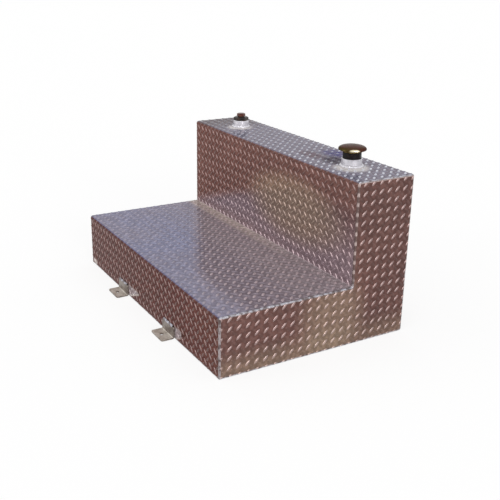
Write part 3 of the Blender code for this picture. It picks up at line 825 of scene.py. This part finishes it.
for node in ("filler_bung_weld", "port_bung_weld"):
    low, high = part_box(node)
    middle = (low + high) / 2
    radius = (high.x - low.x) / 2 - FILLET_REACH

    def ring_corner(distance, middle=middle, radius=radius, foot=low.z):
        angle = distance / radius
        out = Vector((math.cos(angle), math.sin(angle), 0))
        return Vector((middle.x, middle.y, foot)) + out * radius, out, Vector((0, 0, 1))

    bead(node + "_bead", node, math.tau * radius, ring_corner, inside=True, closed=True)

for node in ("left_bracket_weld", "right_bracket_weld"):
    low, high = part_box(node)

    def ledge_corner(distance, low=low, high=high):
        return Vector((low.x + distance, high.y, low.z)), Vector((0, -1, 0)), Vector((0, 0, 1))

    bead(node + "_bead", node, high.x - low.x, ledge_corner, inside=True)

# The two bungs: turned aluminium bosses that are welded into the top, with the fine rings that a lathe
# tool leaves. The port's is smaller and has the thicker wall.
BUNG_LIGHT = shade(222, 220, 226)
BUNG_SMUDGE = shade(186, 183, 191)


def from_axis(finish, node):
    """A point's place measured from a node's upright axis, and its height in the tank."""
    low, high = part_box(node)
    x, y, z = finish.axes()
    return x - (low.x + high.x) / 2, y - (low.y + high.y) / 2, z


def bung_finish(node):
    finish = Finish(node + "_turned")
    x, y, z = from_axis(finish, node)
    radius = finish.maths("SQRT", x * x + y * y)
    rings = finish.noise(1400.0, 2.0, spot=finish.vector(radius, z, 0.0))
    smudge = finish.ramp(finish.noise(60.0, 3.0), 0.45, 0.7)
    return finish.surface(
        base_color=finish.blend(smudge * 0.5, BUNG_LIGHT, BUNG_SMUDGE),
        metallic=0.4,
        roughness=rings * 0.15 + 0.22,
        normal=finish.bump(rings, 0.00012),
    )


for node in ("filler_bung", "port_bung"):
    dress(node, bung_finish(node))

# The filler neck: 2 in black iron pipe, painted black over mill scale, with a tapered thread at both
# ends. It is screwed into its bung, and the cap screws on to its top.
PIPE_THREAD_PITCH = 0.00221
PIPE_THREAD_DEPTH = 0.0011
LOWER_THREAD_ENDS = (0.030, 0.033)
UPPER_THREAD_BEGINS = (-0.016, -0.013)
PIPE_BLACK = shade(16, 12, 13)
PIPE_WORN = shade(48, 34, 30)


def thread(finish, node, pitch):
    """A right-hand screw thread round a node's upright axis, from 0 in its root to 1 on its crest."""
    x, y, z = from_axis(finish, node)
    turns = z / pitch - finish.maths("ARCTAN2", y, x) / math.tau
    return abs(finish.maths("FRACT", turns) - 0.5) * 2


def neck_finish():
    finish = Finish("black_pipe")
    z = finish.axes()[2]
    low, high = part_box("filler_neck")
    lower_thread = 1 - finish.ramp(z, *(low.z + limit for limit in LOWER_THREAD_ENDS))
    upper_thread = finish.ramp(z, *(high.z + limit for limit in UPPER_THREAD_BEGINS))
    grain = finish.noise(260.0, 4.0)
    wear_and_sheen = finish.ramp(finish.noise(90.0, 3.0), 0.55, 0.75)
    screw = thread(finish, "filler_neck", PIPE_THREAD_PITCH) * (lower_thread + upper_thread)
    return finish.surface(
        base_color=finish.blend(wear_and_sheen * 0.6, PIPE_BLACK, PIPE_WORN),
        metallic=0.2,
        roughness=grain * 0.25 + 0.30,
        specular_ior_level=0.2,
        normal=finish.bump(screw * PIPE_THREAD_DEPTH + grain * 0.0002, 1.0),
    )


dress("filler_neck", neck_finish())

# The filler cap: a steel cover pressed and rolled over a threaded hub, both plated and passivated to
# yellow. Weather has turned the cover brown, and a glint is painted on the front of its rim. The seal
# under it is a flat ring of black nitrile rubber.
COVER_BROWN = shade(88, 52, 48)
COVER_OLIVE = shade(78, 58, 42)
RIM_OLIVE = shade(72, 62, 34)
RIM_BROWN = shade(78, 50, 42)
# The colour of the painted glint on the rim's front.
RIM_GLINT = shade(224, 217, 188)
COVER_GLOSS = shade(150, 104, 92)
RIM_BEGINS = (0.036, 0.045)
BROWN_WAY = (0.5, 0.86)
BROWN_BEGINS = (-0.035, 0.02)
GLINT_WAY = (0.88, -0.47)
RIM_GLINT_BEGINS = (0.0412, 0.0444)
RIM_GLINT_ENDS = (-0.009, -0.005)
HUB_PLATED = shade(150, 128, 74)
HUB_DIRT = shade(96, 80, 48)
HUB_THREAD_DEPTH = 0.0008
RUBBER_BLACK = shade(24, 24, 25)
RUBBER_DUST = shade(52, 50, 48)


def cover_finish():
    finish = Finish("cap_plating")
    x, y, z = from_axis(finish, "filler_cap_cover")
    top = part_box("filler_cap_cover")[1].z
    stains = finish.ramp(finish.noise(75.0, 4.0), 0.38, 0.62)
    rim = finish.ramp(finish.maths("SQRT", x * x + y * y), *RIM_BEGINS)
    brown = finish.ramp(x * BROWN_WAY[0] + y * BROWN_WAY[1], *BROWN_BEGINS)
    edge = finish.blend(brown, RIM_OLIVE, RIM_BROWN)
    # A painted glint on the front of the rim.
    glint = finish.ramp(x * GLINT_WAY[0] + y * GLINT_WAY[1], *RIM_GLINT_BEGINS)
    glint = glint * (1 - finish.ramp(z, *(top + limit for limit in RIM_GLINT_ENDS)))
    edge = finish.blend(glint, edge, RIM_GLINT)
    grain = finish.noise(700.0, 3.0)
    return finish.surface(
        base_color=finish.blend(rim, finish.blend(stains, COVER_BROWN, COVER_OLIVE), edge),
        metallic=rim * 0.5,
        roughness=stains * 0.10 + grain * 0.10 + 0.16,
        specular_ior_level=0.03,
        specular_tint=COVER_GLOSS,
        normal=finish.bump(grain * 0.00006 + stains * 0.00008, 1.0),
    )


def hub_finish():
    finish = Finish("hub_plating")
    screw = thread(finish, "filler_cap_hub", PIPE_THREAD_PITCH)
    dirt = finish.ramp(finish.noise(120.0, 3.0), 0.4, 0.65)
    return finish.surface(
        base_color=finish.blend(dirt, HUB_PLATED, HUB_DIRT),
        metallic=0.7,
        roughness=dirt * 0.2 + 0.28,
        normal=finish.bump(screw * HUB_THREAD_DEPTH, 1.0),
    )


def rubber_finish(name):
    """Moulded black nitrile, a little dusty, with the fine grain of its mould."""
    finish = Finish(name)
    dust = finish.ramp(finish.noise(140.0, 4.0), 0.45, 0.7)
    grain = finish.noise(1500.0, 2.0)
    return finish.surface(
        base_color=finish.blend(dust * 0.5, RUBBER_BLACK, RUBBER_DUST),
        roughness=grain * 0.15 + 0.55,
        specular_ior_level=0.35,
        normal=finish.bump(grain, 0.00008),
    )


dress("filler_cap_cover", cover_finish())
dress("filler_cap_hub", hub_finish())
dress("filler_cap_gasket", rubber_finish("cap_gasket_rubber"))

# The port: a cast hexagon bushing of black malleable iron, screwed into its bung, and in it a red-brown
# hexagon plug on a rubber O-ring. Both have a cast skin, which is worn in patches.
PLUG_THREAD_PITCH = 0.00181
IRON_THREAD_DEPTH = 0.0009
HEAD_BEGINS = (-0.016, -0.014)
BUSHING_COLOURS = (shade(30, 25, 24), shade(66, 50, 42))
PLUG_COLOURS = (shade(78, 32, 20), shade(104, 58, 42))


def iron_finish(name, node, pitch, dark, wear_and_sheen):
    finish = Finish(name)
    z = finish.axes()[2]
    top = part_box(node)[1].z
    shank = 1 - finish.ramp(z, *(top + limit for limit in HEAD_BEGINS))
    screw = thread(finish, node, pitch) * shank * IRON_THREAD_DEPTH
    skin = finish.noise(420.0, 4.0)
    patchy = finish.ramp(finish.noise(110.0, 3.0), 0.45, 0.65)
    return finish.surface(
        base_color=finish.blend(patchy, dark, wear_and_sheen),
        metallic=0.45,
        roughness=skin * 0.2 + 0.26,
        normal=finish.bump(screw + skin * 0.0004, 1.0),
    )


dress("port_bushing", iron_finish("bushing_iron", "port_bushing", PIPE_THREAD_PITCH, *BUSHING_COLOURS))
dress("port_plug", iron_finish("plug_iron", "port_plug", PLUG_THREAD_PITCH, *PLUG_COLOURS))
dress("port_plug_oring", rubber_finish("plug_ring_rubber"))

# The hold-down brackets: folded aluminium angle, bare and dull, with fine scratches along it. Each is
# welded to the foot of the front wall, and one bolt holds it to the truck's bed.
# The foot is painted as lit and the leg as shaded, each with real grime.
FOOT_LIT = shade(226, 218, 208)
FOOT_LIT_GRIME = shade(198, 188, 176)
LEG_SHADED = shade(138, 128, 120)
LEG_SHADED_GRIME = shade(104, 92, 86)


def bracket_finish():
    finish = Finish("bracket_angle")
    flat = finish.ramp(finish.facing("Z"), 0.4, 0.9)
    scratches = finish.noise(300.0, 3.0, (0.08, 1.0, 1.0))
    grime = finish.ramp(finish.noise(50.0, 4.0), 0.42, 0.66)
    # Painted light and shade: the upward foot lighter, the upright leg darker.
    foot = finish.blend(grime, FOOT_LIT, FOOT_LIT_GRIME)
    leg = finish.blend(grime, LEG_SHADED, LEG_SHADED_GRIME)
    return finish.surface(
        base_color=finish.blend(flat, leg, foot),
        metallic=0.4,
        roughness=scratches * 0.2 + 0.32,
        normal=finish.bump(scratches * 0.6 + grime * 0.4, 0.0003),
    )


BRACKET_FINISH = bracket_finish()
for node in ("left_bracket", "right_bracket"):
    dress(node, BRACKET_FINISH)

# The baffles inside, which keep the fuel from surging: plain mill-finish aluminium sheet, with flanges
# that are stitched to the shell.
MILL_DARK = shade(176, 177, 180)
MILL_LIGHT = shade(198, 198, 200)


def plain_sheet():
    finish = Finish("plain_sheet")
    rolled = finish.noise(90.0, 3.0, (1.0, 0.05, 1.0))
    cloudy = finish.ramp(finish.noise(9.0, 3.0), 0.4, 0.6)
    return finish.surface(
        base_color=finish.blend(cloudy, MILL_DARK, MILL_LIGHT),
        metallic=0.8,
        roughness=rolled * 0.2 + 0.3,
        normal=finish.bump(rolled, 0.0002),
    )


BAFFLE_FINISH = plain_sheet()
for node in ("left_baffle", "right_baffle"):
    dress(node, BAFFLE_FINISH)

# The studio: a pale floor just under the lugs of the base, a white world that shows in the metal too,
# and three soft lamps. For the camera and in reflections, floor and world are plain white.
CAMERA_PLACE = Vector((2.2610, -1.2839, 1.1375))
CAMERA_RIGHT = Vector((0.49629316, 0.86806529, 0.01248033))
CAMERA_UP = Vector((-0.28720563, 0.15060198, 0.94595558))
FOCAL_PIXELS = 769.67
IMAGE_PIXELS = 500
SENSOR_MM = 36.0
CAMERA_SHIFT = (0.0243, -0.0418)
VIEW_DEPTH = 100.0
WHITE = (1.0, 1.0, 1.0, 1.0)
SKY_LIGHT = 0.55
FLOOR_Z = -LUG_HEIGHT
FLOOR_HALF = 30.0
FLOOR_PALE = (0.95, 0.95, 0.95, 1.0)
FLOOR_GLOW_SHARE = 0.75
FLOOR_GLOW_SEEN = 1.076

# Each lamp's name, the direction from the tank to it, its strength, and its breadth in degrees.
LAMPS = (
    ("right_lamp", (0.975, -0.08, 0.21), 1.3, 30),
    ("front_lamp", (-0.35, -0.92, 0.14), 0.6, 28),
    ("top_lamp", (0.20, -0.20, 0.96), 0.45, 26),
)
bpy.context.scene.view_settings.view_transform = "Standard"

camera_data = bpy.data.cameras.new("camera")
camera_data.sensor_width = SENSOR_MM
camera_data.lens = FOCAL_PIXELS / IMAGE_PIXELS * SENSOR_MM
camera_data.shift_x, camera_data.shift_y = CAMERA_SHIFT
camera_data.clip_end = VIEW_DEPTH
camera = bpy.data.objects.new("camera", camera_data)
turn = Matrix((CAMERA_RIGHT, CAMERA_UP, CAMERA_RIGHT.cross(CAMERA_UP))).transposed()
camera.matrix_world = Matrix.Translation(CAMERA_PLACE) @ turn.to_4x4()
bpy.context.scene.collection.objects.link(camera)
bpy.context.scene.camera = camera


def camera_share(maker):
    """1 for rays that come straight from the camera, or from it by way of metal or glass."""
    rays = maker.node("LightPath").outputs
    share = rays["Is Camera Ray"]
    for name in ("Is Glossy Ray", "Is Transmission Ray"):
        share = maker.maths("MAXIMUM", share, rays[name])
    return share


def mix(maker, share, first, second):
    """A shader between two others."""
    return maker.node("MixShader", {}, {0: share, 1: first.outputs[0], 2: second.outputs[0]})


world = bpy.data.worlds.new("studio")
world.use_nodes = True
world.node_tree.nodes.clear()
bpy.context.scene.world = world
sky = Maker(world.node_tree)
lit = sky.node("Background", {}, {"Color": WHITE, "Strength": SKY_LIGHT})
shown = sky.node("Background", {}, {"Color": WHITE, "Strength": 1.0})
sky.node("OutputWorld", {}, {"Surface": mix(sky, camera_share(sky), lit, shown).outputs[0]})

floor_mesh = bpy.data.meshes.new("floor")
corners = [(x * FLOOR_HALF, y * FLOOR_HALF, FLOOR_Z) for x, y in ((-1, -1), (1, -1), (1, 1), (-1, 1))]
floor_mesh.from_pydata(corners, [], [(0, 1, 2, 3)])
floor = bpy.data.objects.new("floor", floor_mesh)
bpy.context.scene.collection.objects.link(floor)
pale = Finish("floor")
pale.surface(base_color=FLOOR_PALE, roughness=1.0, specular_ior_level=0.0)
cast_glow = pale.node("Emission", {}, {"Color": WHITE, "Strength": 1.0})
seen_glow = pale.node("Emission", {}, {"Color": WHITE, "Strength": FLOOR_GLOW_SEEN})
glow = mix(pale, camera_share(pale), cast_glow, seen_glow)
glowing = mix(pale, FLOOR_GLOW_SHARE, pale.shader, glow)
pale.join(pale.tree.nodes["Material Output"].inputs["Surface"], glowing.outputs[0])
floor.data.materials.append(pale.material)

for name, towards, strength, angle in LAMPS:
    data = bpy.data.lights.new(name, "SUN")
    data.energy = strength
    data.angle = math.radians(angle)
    lamp = bpy.data.objects.new(name, data)
    lamp.rotation_euler = Vector(towards).to_track_quat("Z", "Y").to_euler()
    bpy.context.scene.collection.objects.link(lamp)
